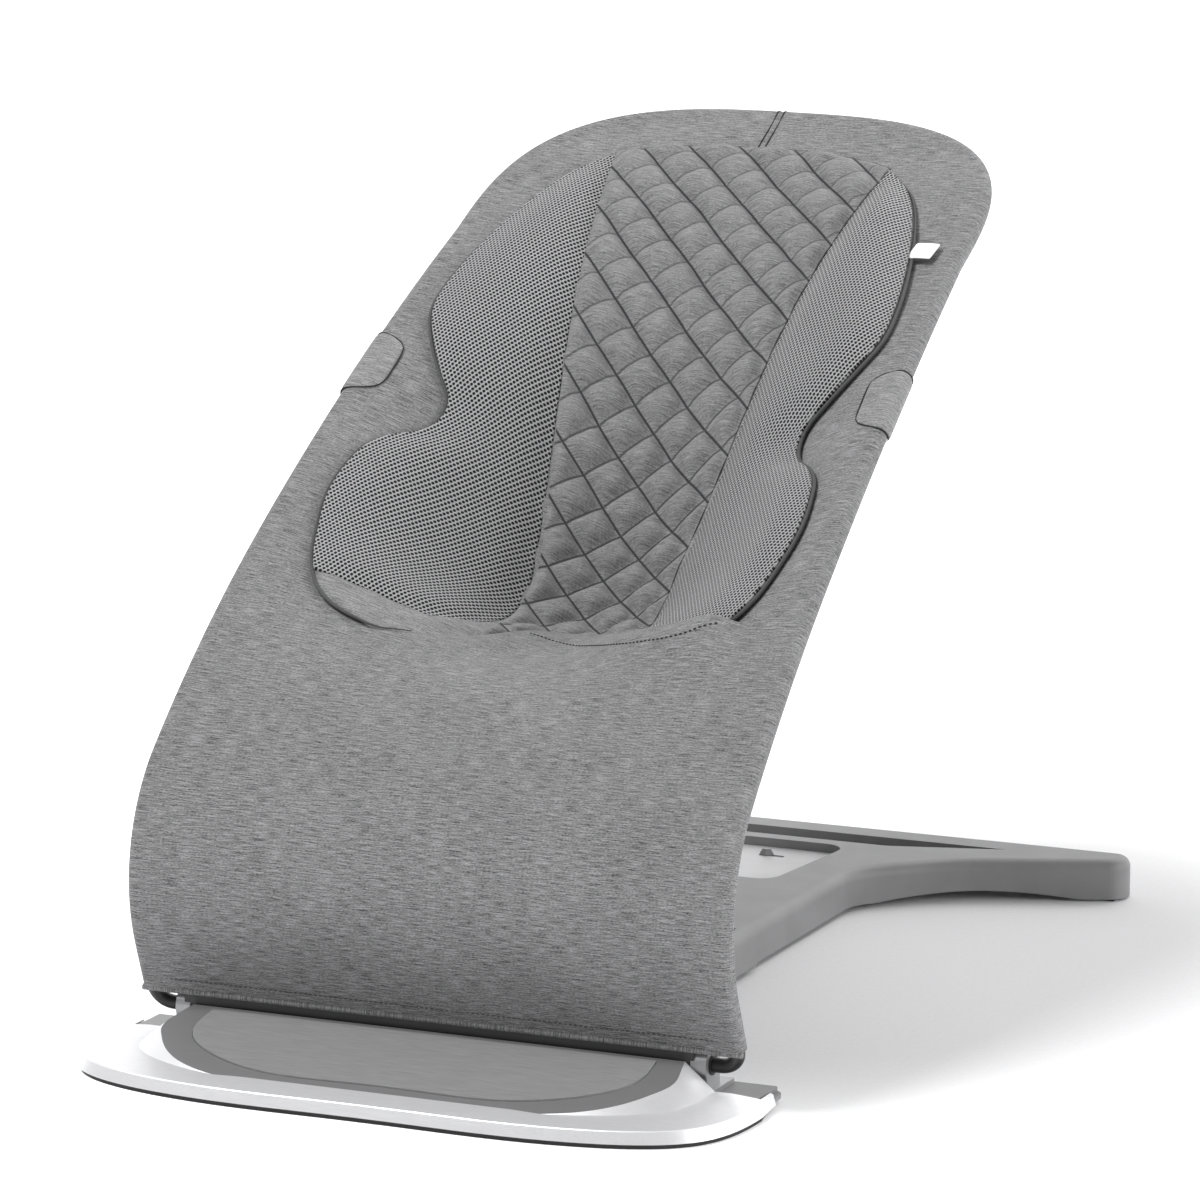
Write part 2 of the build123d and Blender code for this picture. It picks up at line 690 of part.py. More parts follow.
def rear_base_top():
    body = extrude(Pos(0, 0, 1.4) * rear_outline(0), amount=REAR_TOP_Z - 1.4)
    body = fillet(body.faces().sort_by(Axis.Z)[-1].edges().filter_by(
        lambda e: e.center().Y > SPINE_END_Y + 5), 7)
    floor = box(-86, 86, 280, 620, -1, 3.4)
    body -= floor
    for arch in both_sides(arm_arch()):
        body -= arch
    inside = extrude(Pos(0, 0, -2) * rear_outline(WALL + 0.3), amount=REAR_TOP_Z - WALL + 2)
    inside &= box(-300, 300, 200, 700, -5, REAR_TOP_Z - 9.5)
    body -= inside
    # Channel in front of the raised cross bar, fading out along the arms
    groove = Polyline([(-150, 571), (150, 571), (72, 549), (-72, 549)], close=True)
    body -= extrude(Pos(0, 0, HATCH_TOP_Z + 0.5) * make_face(groove.edges()), amount=20)
    for scoop in both_sides(arm_groove()):
        body -= scoop
    # Hatch recess, its opening and the ledge round it
    body -= extrude(hatch_outline(0, HATCH_TOP_Z - HATCH_T), amount=20)
    body -= extrude(hatch_outline(5, 5), amount=20)
    # Tongue that plugs into the front section
    tongue = channel(REAR_HALF_WIDTH - 3, TONGUE_FRONT_Y, SPINE_END_Y + 4, 6.5, SPINE_TOP_Z - 3, 5)
    body += tongue
    body -= box(-68, 68, SPINE_END_Y - 10, SPINE_END_Y + 5, 3, 18)
    for sign in (1, -1):
        body -= catch_slot(sign)
    return body


def rear_base_bottom():
    """Closing plate under the rear part, with the rod's guide ribs and screw bosses."""
    plate = extrude(Pos(0, 0, 3.5) * rear_outline(WALL + 0.8), amount=2.2)
    plate &= box(-72, 72, 200, REAR_Y - 4, 0, 20)
    for y in (330, 400, 460):
        for x in (-8, 5.6):
            plate += box(x, x + 2.4, y, y + 24, 4, 14)
    for x, y in REAR_SCREWS:
        plate += upright(3.6, x, y, 3.5, 14)
        plate -= upright(1.7, x, y, 0, 12.5)
    return plate


def base_screws():
    parts = [screw(x, y, SPINE_FLOOR_Z - 0.05, 9, -1) for x, y in SPINE_SCREWS]
    parts += [screw(x, y, 3.45, 8, -1) for x, y in REAR_SCREWS]
    return Compound(parts)


def hatch_panel():
    panel = extrude(hatch_outline(0.4, HATCH_TOP_Z - HATCH_T + 0.05), amount=HATCH_T)
    left, right = -LEVER_NECK - 1.5, LEVER_TRAVEL + LEVER_NECK + 1.0
    return panel - box(left, right, LEVER_Y - 2.2, LEVER_Y + 2.2, 0, 40)


def joint_catches():
    low, high = 19.5, SPINE_TOP_Z - 0.7
    front, rear = CATCH_FRONT_Y + 0.2, CATCH_REAR_Y - 0.2
    catches = [box(x - 7.8, x + 7.8, front, rear, low, high) for x in (-CATCH_X, CATCH_X)]
    return Compound(catches)


def rear_foot(side):
    return Pos(side * 217, 581, 0.65) * Box(20, 20, 1.3)


# ---------------------------------------------------------------- recline lock


def lock_rod():
    """Flat bar from the hatch to the sector; its front end rises to a thin blade."""
    rod = box(-5, 5, 34, 512, 11, 14)
    rod += box(-5, 5, 34, 38, 11, HINGE_Z + 1.5)
    rod += box(-4, 4, BLADE_Y, 36, HINGE_Z - BLADE_T / 2, HINGE_Z + BLADE_T / 2)
    rod += box(-15, 20, LEVER_Y - 11, LEVER_Y + 15, 11, 14)
    # The lever's pin runs along this slanting slot: 2 across for 1 along.
    a = math.degrees(math.atan2(ROD_TRAVEL, LEVER_TRAVEL))
    length = math.hypot(ROD_TRAVEL, LEVER_TRAVEL) + 1.0
    middle = Pos(LEVER_TRAVEL / 2, LEVER_Y + ROD_TRAVEL / 2, 12.5)
    slot = extrude(SlotCenterToCenter(length, 4.6), amount=10, both=True)
    return rod - middle * Rot(0, 0, a) * slot


def lock_lever():
    """Slider with a diamond-shaped grip above the hatch and a pin below it."""
    grip_low = HATCH_TOP_Z + 0.4
    length, width = LEVER_HALF_LENGTH, LEVER_HALF_WIDTH
    diamond = Polyline([(-length, 0), (0, -width), (length, 0), (0, width)], close=True)
    face = Pos(0, LEVER_Y, grip_low) * make_face(diamond.edges())
    lever = extrude(face, amount=4.0, taper=18)
    lever += box(-LEVER_NECK, LEVER_NECK, LEVER_Y - 1.8, LEVER_Y + 1.8, 16, grip_low + 0.5)
    lever += box(-9, 9, LEVER_Y - 6, LEVER_Y + 6, 15, HATCH_TOP_Z - HATCH_T - 0.4)
    lever += upright(2.0, 0, LEVER_Y, 9.5, 16)
    return lever


NODES = {
    "lower_frame_tube": lower_frame_tube,
    "upper_frame_tube": upper_frame_tube,
    "frame_spigot_left": lambda: frame_spigot(-1),
    "frame_spigot_right": lambda: frame_spigot(1),
    "lock_sector": lock_sector,
    "front_pouch": front_pouch,
    "seat_sling": seat_sling,
    "quilt_panel": quilt_panel,
    "mesh_panel_left": lambda: mesh_panel(-1),
    "mesh_panel_right": lambda: mesh_panel(1),
    "pad_piping": pad_piping,
    "tab_flap_left": lambda: tab_flap(-1),
    "tab_flap_right": lambda: tab_flap(1),
    "hem_binding": hem_binding,
    "label_tag": label_tag,
    "front_plate_cover": front_plate_cover,
    "front_plate_inlay": front_plate_inlay,
    "front_tray": front_tray,
    "front_rubber_strip": front_rubber_strip,
    "pivot_bracket_left": lambda: pivot_bracket(-1),
    "pivot_bracket_right": lambda: pivot_bracket(1),
    "hinge_bush_left": lambda: hinge_bush(-1),
    "hinge_bush_right": lambda: hinge_bush(1),
    "bracket_screws": bracket_screws,
    "spine_front_cover": spine_front_cover,
    "spine_front_base": spine_front_base,
    "rear_base_top": rear_base_top,
    "rear_base_bottom": rear_base_bottom,
    "base_screws": base_screws,
    "hatch_panel": hatch_panel,
    "joint_catches": joint_catches,
    "rear_foot_left": lambda: rear_foot(-1),
    "rear_foot_right": lambda: rear_foot(1),
    "lock_rod": lock_rod,
    "lock_lever": lock_lever,
}

os.makedirs("parts", exist_ok=True)
for name, make in NODES.items():
    shape = make()
    export_step(shape, f"parts/{name}.step")
    size = shape.bounding_box()
    print(name, len(shape.solids()), round(shape.volume), size.min, size.max)
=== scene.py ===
import json
import math

import bmesh
import bpy
from mathutils import Matrix, Vector, noise


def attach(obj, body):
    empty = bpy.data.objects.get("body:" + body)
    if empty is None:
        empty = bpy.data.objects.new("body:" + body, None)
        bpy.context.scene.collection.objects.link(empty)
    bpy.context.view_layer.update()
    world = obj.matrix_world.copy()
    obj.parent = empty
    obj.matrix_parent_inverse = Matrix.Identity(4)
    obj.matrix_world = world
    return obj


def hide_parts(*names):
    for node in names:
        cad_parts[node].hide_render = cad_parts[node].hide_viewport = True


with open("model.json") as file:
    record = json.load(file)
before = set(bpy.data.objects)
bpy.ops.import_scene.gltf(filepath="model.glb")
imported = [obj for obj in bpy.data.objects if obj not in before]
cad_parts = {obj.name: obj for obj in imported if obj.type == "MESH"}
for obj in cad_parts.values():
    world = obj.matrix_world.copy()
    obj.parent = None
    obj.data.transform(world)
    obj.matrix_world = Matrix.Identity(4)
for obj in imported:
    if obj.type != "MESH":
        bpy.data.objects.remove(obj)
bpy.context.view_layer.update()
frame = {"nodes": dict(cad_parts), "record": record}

# Baby bouncer seat. Sizes below are in millimetres, as in the CAD, and MM turns them into metres.
MM = 0.001

# Seat frame: side view, from the hinge axis upwards
HINGE_Y = 3.0
HINGE_Z = 25.0
START_ANGLE = 112.0
LEG_LENGTH = 46.0
FRAME_ARCS = ((105.0, 45.0), (963.0, 35.0), (2110.0, 0.0))  # radius, degrees at its end
TOP_S = 808.0
CORNER_S = 650.0
FOOT_HALF_WIDTH = 195.0
CORNER_HALF_WIDTH = 171.0

# Sling
SAG = 108.0
SAG_S = 390.0
SAG_SPREAD_DOWN = 100.0
SAG_SPREAD_UP = 200.0
HEM_S = 14.0
SLEEVE_R = 6.2           # cloth round the tube
CLOTH_LIFT = 7.2         # cloth above the tubes' centre line, between them
SLEEVE_DEGREES = (22, 45, 67, 90, 112, 135, 158, 180, 205, 228)  # rings round the tube, 0 on top
SLEEVE_ENDS = ((9.0, -3.0), (17.0, 1.5))  # last rings: reach inwards from the tube, lift
COLUMNS = 73             # across the cover
CORNER_ROWS = 22         # above the frame's corners
FLAP_MIDDLE_S = 503.0
FLAP_HALF_LENGTH = 28.0
FLAP_WIDTH = 18.5
FLAP_CORNER = ((18, 27.5), (10, 25), (4, 21.5), (1, 17), (0, 10))  # outwards, along: half its edge

# Pad
BACKING_LIFT = 10.5
PANEL_LIFT = 12.0
QUILT_RISE = 7.5
MESH_RISE = 7.5
PIPING_R = 1.25
QUILT_PITCH = 36.4       # between the seams of the main diagonal, along the back
QUILT_CROSS_PITCH = 33.0
QUILT_SLOPE = 0.97
QUILT_CROSS_SLOPE = 0.95
QUILT_GAP = QUILT_PITCH / math.sqrt(1 + QUILT_SLOPE**2)
QUILT_CROSS_GAP = QUILT_CROSS_PITCH / math.sqrt(1 + QUILT_CROSS_SLOPE**2)
PAD_BOTTOM_S = 290.0
BACKING_BOTTOM_S = 288.5
PAD_TOP_S = 757.5
PAD_EDGE = (
    # distance along the side view's line, half width of the pad
    (288, 96), (295, 120), (307, 137), (325, 148), (345, 154), (385, 160), (425, 155), (445, 145),
    (462, 130), (478, 123.5), (495, 124), (511, 134), (530, 145), (555, 155), (580, 156),
    (625, 149.5), (680, 135), (716, 119), (740, 98),
)
LIP = (
    # across, distance along the side view's line of the pouch's upper edge
    (-205, 292), (-112, 294), (-92, 297), (-75, 302), (-58, 312), (-40, 325), (-20, 343),
    (0, 348), (20, 347), (34, 340), (52, 328), (74, 315), (95, 309), (120, 308), (140, 306),
    (205, 300),
)
LIP_RISE = 15.0
TOPSTITCH = ((-18, 335), (24, 317), (64, 297), (97, 291), (121, 294), (139, 302))

# Fabric
MESH_CELL_X = 2.4
MESH_CELL_Y = 2.7
MESH_TURN = -58.0        # degrees between the mesh's rows and the cover's courses
SEAM_HALF_WIDTH = 1.25   # dark shade beside a quilting seam

# Plate
RAMP_RUN = 83.0
RAMP_RISE = 16.0
# painted shade on the plate's ramp
PAINTED_RAMP_SHADE = 0.36        # share of the plate's colour left on its ramp

# Camera
VIEW_AZIMUTH = 23.8193
VIEW_ELEVATION = 11.6127
VIEW_TARGET = Vector((-0.0276, 0.3, 0.2351))
VIEW_DISTANCE = 4.4801
VIEW_LENS = 210.0
SENSOR = 36.0

# Floor and backdrop, in metres
STAGE_HALF_WIDTH = 30.0
STAGE_BACK = 6.0         # where the floor starts to curve up
STAGE_CURVE = 2.0
STAGE_HEIGHT = 12.0
GLOW_START = 0.22        # the paper is lit to plain white between these distances from the seat
GLOW_END = 0.66
GLOW_STRENGTH = 0.85


# ---------------------------------------------------------------- shape of the seat


def smooth(t):
    """0 to 1 with no corners, for t from 0 to 1."""
    t = min(max(t, 0.0), 1.0)
    return t * t * (3 - 2 * t)


def along(table, s):
    """Smooth curve through a table of (place, value) pairs."""
    if s <= table[0][0]:
        return table[0][1]
    for i in range(len(table) - 1):
        (s0, v0), (s1, v1) = table[i], table[i + 1]
        if s <= s1:
            before = table[max(i - 1, 0)]
            after = table[min(i + 2, len(table) - 1)]
            run = s1 - s0
            m0 = (v1 - before[1]) / (s1 - before[0]) * run
            m1 = (after[1] - v0) / (after[0] - s0) * run
            t = (s - s0) / run
            return (
                (2 * t**3 - 3 * t**2 + 1) * v0
                + (t**3 - 2 * t**2 + t) * m0
                + (-2 * t**3 + 3 * t**2) * v1
                + (t**3 - t**2) * m1
            )
    return table[-1][1]


def side_line(s):
    """Point (y, z) and direction, in radians, of the frame's side view, s above the hinge."""
    y, z, angle = HINGE_Y, HINGE_Z, math.radians(START_ANGLE)
    run = min(s, LEG_LENGTH)
    y += run * math.cos(angle)
    z += run * math.sin(angle)
    left = s - run
    for radius, end in FRAME_ARCS:
        if left <= 0:
            break
        step = min(left, radius * (angle - math.radians(end)))
        turned = angle - step / radius
        y += radius * (math.sin(angle) - math.sin(turned))
        z += radius * (math.cos(turned) - math.cos(angle))
        angle = turned
        left -= step
    return y, z, angle


def half_width(s):
    if s <= CORNER_S:
        drop = FOOT_HALF_WIDTH - CORNER_HALF_WIDTH
        return FOOT_HALF_WIDTH - drop * (max(s, 0.0) / CORNER_S) ** 1.7
    t = min((s - CORNER_S) / (TOP_S - CORNER_S), 1.0)
    return CORNER_HALF_WIDTH * (1 - t**3) ** (1 / 3)


def sag(s):
    spread = SAG_SPREAD_DOWN if s < SAG_S else SAG_SPREAD_UP
    at_top = math.exp(-(((TOP_S - SAG_S) / SAG_SPREAD_UP) ** 2))
    t = max(s - SAG_S, 0.0) / (TOP_S - SAG_S)
    return SAG * (math.exp(-(((s - SAG_S) / spread) ** 2)) - at_top * t * t)


def up_at(s):
    """Direction square to the frame's side view line, towards the sitter."""
    angle = side_line(s)[2]
    return Vector((0, -math.sin(angle), math.cos(angle)))


def frame_point(x, s, lift=0.0):
    y, z, _ = side_line(s)
    return (Vector((x, y, z)) + up_at(s) * lift) * MM


def sling_point(x, s, lift=0.0):
    reach = half_width(min(s, CORNER_S)) + 1
    u = min(abs(x) / reach, 1)
    return frame_point(x, s, lift - sag(s) * (1 - u * u) ** 2)


def pad_edge(s):
    """Half width of the padded insert."""
    if s <= PAD_EDGE[-1][0]:
        return along(PAD_EDGE, s)
    t = min((s - PAD_EDGE[-1][0]) / (PAD_TOP_S - PAD_EDGE[-1][0]), 1)
    return PAD_EDGE[-1][1] * (1 - t**2.2) ** (1 / 2.2)


def pad_top(x):
    """Upper edge of the pad, along the side view's line."""
    t = min(abs(x) / PAD_EDGE[-1][1], 1)
    return PAD_TOP_S - (PAD_TOP_S - PAD_EDGE[-1][0]) * t**2.6


def quilt_edge(s):
    return 47 + 0.14 * max(s - 400, 0)


# ---------------------------------------------------------------- mesh helpers


def new_object(name, verts, faces, uvs=None):
    """Smooth mesh object from points in metres; uvs are one (u, v) in metres for each vertex."""
    mesh = bpy.data.meshes.new(name)
    mesh.from_pydata([tuple(v) for v in verts], [], faces)
    if uvs:
        layer = mesh.uv_layers.new(name="cloth")
        for loop in mesh.loops:
            layer.data[loop.index].uv = uvs[loop.vertex_index]
    mesh.polygons.foreach_set("use_smooth", [True] * len(mesh.polygons))
    mesh.update()
    obj = bpy.data.objects.new(name, mesh)
    bpy.context.scene.collection.objects.link(obj)
    return obj


def grid_faces(columns, rows, wrap=False):
    faces = []
    for j in range(rows - 1):
        low, high = j * columns, (j + 1) * columns
        for i in range(columns if wrap else columns - 1):
            k = (i + 1) % columns
            faces.append((low + i, low + k, high + k, high + i))
    return faces


def grid_object(name, columns, rows, place):
    """Grid whose vertex (i, j) is at place(i / (columns - 1), j / (rows - 1)) -> point, (u, v)."""
    verts, uvs = [], []
    for j in range(rows):
        for i in range(columns):
            point, uv = place(i / (columns - 1), j / (rows - 1))
            verts.append(point)
            uvs.append(uv)
    return new_object(name, verts, grid_faces(columns, rows), uvs)


def sweep(name, points, radius, sides=10, normals=None):
    """Round tube along points with closed ends, in metres; radius is a number or a function of 0 to 1."""
    verts, faces, uvs = [], [], []
    run = 0.0
    side = Vector((0, 0, 1))
    for j, point in enumerate(points):
        ahead = (points[min(j + 1, len(points) - 1)] - points[max(j - 1, 0)]).normalized()
        up = normals[j] if normals else side
        across = ahead.cross(up).normalized()
        side = across.cross(ahead).normalized()
        if j:
            run += (point - points[j - 1]).length
        r = radius(j / (len(points) - 1)) if callable(radius) else radius
        for i in range(sides):
            a = 2 * math.pi * i / sides
            verts.append(point + across * r * math.cos(a) + side * r * math.sin(a))
            uvs.append((a * r, run))
    faces = grid_faces(sides, len(points), wrap=True)
    faces.append(tuple(reversed(range(sides))))
    last = (len(points) - 1) * sides
    faces.append(tuple(range(last, last + sides)))
    return new_object(name, verts, faces, uvs)


def join(name, objects):
    """One object from several, keeping their meshes as they are."""
    bm = bmesh.new()
    for obj in objects:
        bm.from_mesh(obj.data)
        bpy.data.objects.remove(obj)
    mesh = bpy.data.meshes.new(name)
    bm.to_mesh(mesh)
    bm.free()
    joined = bpy.data.objects.new(name, mesh)
    bpy.context.scene.collection.objects.link(joined)
    return joined


def resample(points, step):
    """Points spaced evenly by step along a polyline."""
    result = [points[0]]
    need = step
    for a, b in zip(points, points[1:]):
        length = (b - a).length
        done = 0.0
        while length - done >= need:
            done += need
            result.append(a.lerp(b, done / length))
            need = step
        need -= length - done
    return result


def stitches(name, points, normals_at, pitch, length, radius):
    """Row of short raised stitches along a line of points."""
    marks = resample(points, pitch * MM)
    pieces = []
    for a, b in zip(marks, marks[1:]):
        ahead = (b - a).normalized() * length * MM
        up = normals_at(a) * radius * MM * 0.4
        line = [a + ahead * t + up * (1 if 0.1 < t < 0.9 else 0) for t in (0, 0.2, 0.5, 0.8, 1)]
        pieces.append(sweep("stitch", line, lambda t: radius * MM * (0.55 + 1.8 * t * (1 - t)), 5))
    return join(name, pieces)


def subdivide(obj):
    modifier = obj.modifiers.new("Smooth", "SUBSURF")
    modifier.levels = 1
    modifier.render_levels = 1


def thicken(obj, thickness):
    modifier = obj.modifiers.new("Thickness", "SOLIDIFY")
    modifier.thickness = thickness * MM
    modifier.offset = -1.0


# ---------------------------------------------------------------- materials


class Nodes:
    """Small helper to write a material's nodes in few lines."""

    def __init__(self, name):
        self.material = bpy.data.materials.new(name)
        self.material.use_nodes = True
        self.tree = self.material.node_tree
        self.shader = self.tree.nodes["Principled BSDF"]

    def add(self, kind, **settings):
        node = self.tree.nodes.new("ShaderNode" + kind)
        for key, value in settings.items():
            if hasattr(node, key):
                setattr(node, key, value)
            else:
                node.inputs[key.replace("_", " ")].default_value = value
        return node

    def link(self, source, target):
        self.tree.links.new(source, target)

    def math(self, operation, a, b=None):
        node = self.add("Math", operation=operation)
        for k, value in enumerate((a, b)):
            if value is None:
                continue
            if isinstance(value, (int, float)):
                node.inputs[k].default_value = value
            else:
                self.link(value, node.inputs[k])
        return node.outputs[0]

    def mapped(self, source, scale, turn=0.0):
        node = self.add("Mapping")
        node.inputs["Scale"].default_value = scale
        node.inputs["Rotation"].default_value = (0, 0, turn)
        self.link(source, node.inputs["Vector"])
        return node.outputs[0]

    def noise(self, vector, scale, detail=3.0, roughness=0.55):
        node = self.add("TexNoise", Scale=scale, Detail=detail, Roughness=roughness)
        self.link(vector, node.inputs["Vector"])
        return node.outputs["Fac"]

    def ramp(self, value, stops):
        node = self.add("ValToRGB")
        elements = node.color_ramp.elements
        while len(elements) < len(stops):
            elements.new(0.5)
        for element, (place, level) in zip(elements, stops):
            element.position = place
            color = level if isinstance(level, tuple) else (level, level, level * 1.01)
            element.color = (*color, 1)
        self.link(value, node.inputs["Fac"])
        return node.outputs["Color"]

    def map_range(self, value, start=0.0, end=1.0, low=0.0, high=1.0, kind="SMOOTHSTEP"):
        """Value from start to end, turned into low to high."""
        node = self.add("MapRange", interpolation_type=kind)
        ends = (("From Min", start), ("From Max", end), ("To Min", low), ("To Max", high))
        for socket, number in ends:
            node.inputs[socket].default_value = number
        self.link(value, node.inputs["Value"])
        return node.outputs[0]

    def mix(self, factor, a, b):
        node = self.add("Mix", data_type="RGBA")
        for value, socket in ((factor, node.inputs[0]), (a, node.inputs[6]), (b, node.inputs[7])):
            if isinstance(value, (int, float)):
                socket.default_value = value
            elif isinstance(value, tuple):
                socket.default_value = (*value, 1)
            else:
                self.link(value, socket)
        return node.outputs[2]

    def bump(self, height, strength, distance):
        node = self.add("Bump", Strength=strength, Distance=distance)
        self.link(height, node.inputs["Height"])
        return node.outputs["Normal"]

    def set(self, **values):
        for key, value in values.items():
            self.shader.inputs[key.replace("_", " ")].default_value = value

    def color(self, output):
        self.link(output, self.shader.inputs["Base Color"])

    def normal(self, output):
        self.link(output, self.shader.inputs["Normal"])


def cloth_uv(n):
    return n.add("UVMap", uv_map="cloth").outputs[0]


def seam_shade_mask(n, phase, gap):
    """Mask for painted seam shade: 1 on the seams of one family and 0 beside them, from the family's
    phase.
    """
    value = n.add("Attribute", attribute_name=phase).outputs["Fac"]
    off = n.math("ABSOLUTE", n.math("SUBTRACT", n.math("FRACT", n.math("ADD", value, 0.5)), 0.5))
    return n.map_range(off, SEAM_HALF_WIDTH / gap, 0.3 / gap)


def jersey(name, level, contrast=0.86, seam_shadows=False):
    """Heathered knit: fine streaks along the courses, speckled, with a soft nap, and if asked, painted
    shade along the quilting seams.
    """
    n = Nodes(name)
    uv = cloth_uv(n)
    streaks = n.noise(n.mapped(uv, (85, 1450, 1)), 1.0, 4.0, 0.7)
    speckle = n.noise(n.mapped(uv, (600, 1700, 1)), 1.0, 2.0, 0.6)
    cloud = n.noise(n.mapped(uv, (18, 26, 1)), 1.0, 2.0, 0.5)
    mixed = n.math("ADD", n.math("MULTIPLY", streaks, 0.65), n.math("MULTIPLY", speckle, 0.35))
    mixed = n.math("ADD", mixed, n.math("MULTIPLY", n.math("SUBTRACT", cloud, 0.5), 0.05))
    low, high = level * (1 - contrast), level * (1 + contrast)
    color = n.ramp(mixed, ((0.36, low), (0.5, level), (0.64, high)))
    if seam_shadows:
        # Painted shade in the quilting seams' creases; the cross seams' shade fades towards the top, where
        # their creases are softer.
        main = seam_shade_mask(n, "main_phase", QUILT_GAP)
        depth = n.add("Attribute", attribute_name="cross_depth").outputs["Fac"]
        cross = n.math("MULTIPLY", seam_shade_mask(n, "cross_phase", QUILT_CROSS_GAP), depth)
        seam = n.math("MULTIPLY", n.math("MAXIMUM", main, cross), 0.92)
        color = n.mix(seam, color, (level * 0.13, level * 0.13, level * 0.14))
    n.color(color)
    loops = n.add("TexWave", wave_type="BANDS", bands_direction="X", Scale=1.0, Distortion=1.2)
    n.link(n.mapped(uv, (170, 170, 1)), loops.inputs["Vector"])
    height = n.math("ADD", n.math("MULTIPLY", loops.outputs["Fac"], 0.35), speckle)
    n.normal(n.bump(height, 0.35, 0.0006))
    n.set(Roughness=0.95, Sheen_Weight=0.06, Sheen_Roughness=0.4, Specular_IOR_Level=0.15)
    return n.material


def air_mesh():
    """Open spacer mesh: rows of slots between light knitted ribs, the slots painted near black as the
    shade inside them.
    """
    n = Nodes("air_mesh")
    cells = (1 / (MESH_CELL_X * MM), 1 / (MESH_CELL_Y * MM), 1)
    uv = n.mapped(cloth_uv(n), cells, math.radians(MESH_TURN))
    parts = n.add("SeparateXYZ")
    n.link(uv, parts.inputs[0])
    x, y = parts.outputs[0], parts.outputs[1]
    row = n.math("FLOOR", y)
    shifted = n.math("ADD", x, n.math("MULTIPLY", row, 0.5))
    across = n.math("SUBTRACT", n.math("FRACT", shifted), 0.5)
    up = n.math("SUBTRACT", n.math("FRACT", y), 0.5)
    up = n.math("MULTIPLY", up, 1.15)
    squares = n.math("ADD", n.math("POWER", across, 2.0), n.math("POWER", up, 2.0))
    solid = n.map_range(n.math("SQRT", squares), 0.37, 0.45)
    fibre = n.noise(n.mapped(cloth_uv(n), (1500, 1500, 1)), 1.0, 2.0, 0.5)
    thread = n.ramp(fibre, ((0.3, 0.24), (0.7, 0.48)))
    # Painted shade: the openings are near black.
    n.color(n.mix(solid, (0.006, 0.006, 0.0065), thread))
    height = n.math("ADD", solid, n.math("MULTIPLY", fibre, 0.15))
    n.normal(n.bump(height, 0.8, 0.0012))
    n.set(Roughness=0.75, Sheen_Weight=0.15, Sheen_Roughness=0.4, Specular_IOR_Level=0.3)
    return n.material


def shades(color, spread):
    """A darker and a lighter neighbour of a colour."""
    dark = tuple(c * (1 - spread) for c in color)
    light = tuple(min(c * (1 + spread), 1) for c in color)
    return dark, light


def grained(name, color, roughness, grain=2200.0, depth=0.00012):
    """Moulded plastic or rubber with a fine spark-eroded grain."""
    n = Nodes(name)
    where = n.add("TexCoord").outputs["Object"]
    fine = n.noise(where, grain, 2.0, 0.5)
    broad = n.noise(where, 35.0, 3.0, 0.5)
    dark, light = shades(color, 0.05)
    n.color(n.ramp(broad, ((0.35, dark), (0.65, light))))
    rough = n.map_range(fine, low=roughness - 0.04, high=roughness + 0.06, kind="LINEAR")
    n.link(rough, n.shader.inputs["Roughness"])
    n.normal(n.bump(fine, 0.5, depth))
    return n.material


def brushed(name, color, roughness, metallic, stretch=(40, 3000, 3000), spread=0.06):
    """Metal or foil with fine brushing along X."""
    n = Nodes(name)
    where = n.add("TexCoord").outputs["Object"]
    lines = n.noise(n.mapped(where, stretch), 1.0, 3.0, 0.6)
    dark, light = shades(color, spread)
    n.color(n.ramp(lines, ((0.3, dark), (0.7, light))))
    rough = n.map_range(lines, low=roughness - 0.05, high=roughness + 0.07, kind="LINEAR")
    n.link(rough, n.shader.inputs["Roughness"])
    n.normal(n.bump(lines, 0.3, 0.00003))
    n.set(Metallic=metallic)
    return n.material


def painted_ramp_shade(material):
    """Painted shade on the plate's ramp: its colour is made darker than its band and rim, masked by the
    ramp's slope.
    """
    tree = material.node_tree
    shader = tree.nodes["Principled BSDF"]
    source = shader.inputs["Base Color"].links[0].from_socket
    where = tree.nodes.new("ShaderNodeTexCoord").outputs["Normal"]
    turn = tree.nodes.new("ShaderNodeVectorMath")
    turn.operation = "DOT_PRODUCT"
    slope = math.atan2(RAMP_RISE, RAMP_RUN)
    turn.inputs[1].default_value = (0, -math.sin(slope), math.cos(slope))
    tree.links.new(where, turn.inputs[0])
    mask = tree.nodes.new("ShaderNodeMapRange")
    mask.inputs["From Min"].default_value = 0.9985
    mask.inputs["From Max"].default_value = 0.9995
    mask.inputs["To Min"].default_value = 1.0
    mask.inputs["To Max"].default_value = PAINTED_RAMP_SHADE
    tree.links.new(turn.outputs["Value"], mask.inputs["Value"])
    scale = tree.nodes.new("ShaderNodeVectorMath")
    scale.operation = "SCALE"
    tree.links.new(source, scale.inputs[0])
    tree.links.new(mask.outputs[0], scale.inputs["Scale"])
    tree.links.new(scale.outputs["Vector"], shader.inputs["Base Color"])


def grey(level):
    return (level, level, level * 1.015)


cover_jersey = jersey("cover_jersey", 0.198)
# The quilted jersey has painted shade along its seams.
quilt_jersey = jersey("quilt_jersey", 0.21, 0.6, seam_shadows=True)
flap_jersey = jersey("flap_jersey", 0.225, 0.7)
piping_jersey = jersey("piping_jersey", 0.09, 0.2)
# Dark thread for the stitches, also used for the painted seam shadow round the flaps.
dark_thread_and_seam_shadow = jersey("dark_thread_and_seam_shadow", 0.035, 0.2)
tag_cloth = jersey("tag_cloth", 0.85, 0.03)
spacer_mesh = air_mesh()

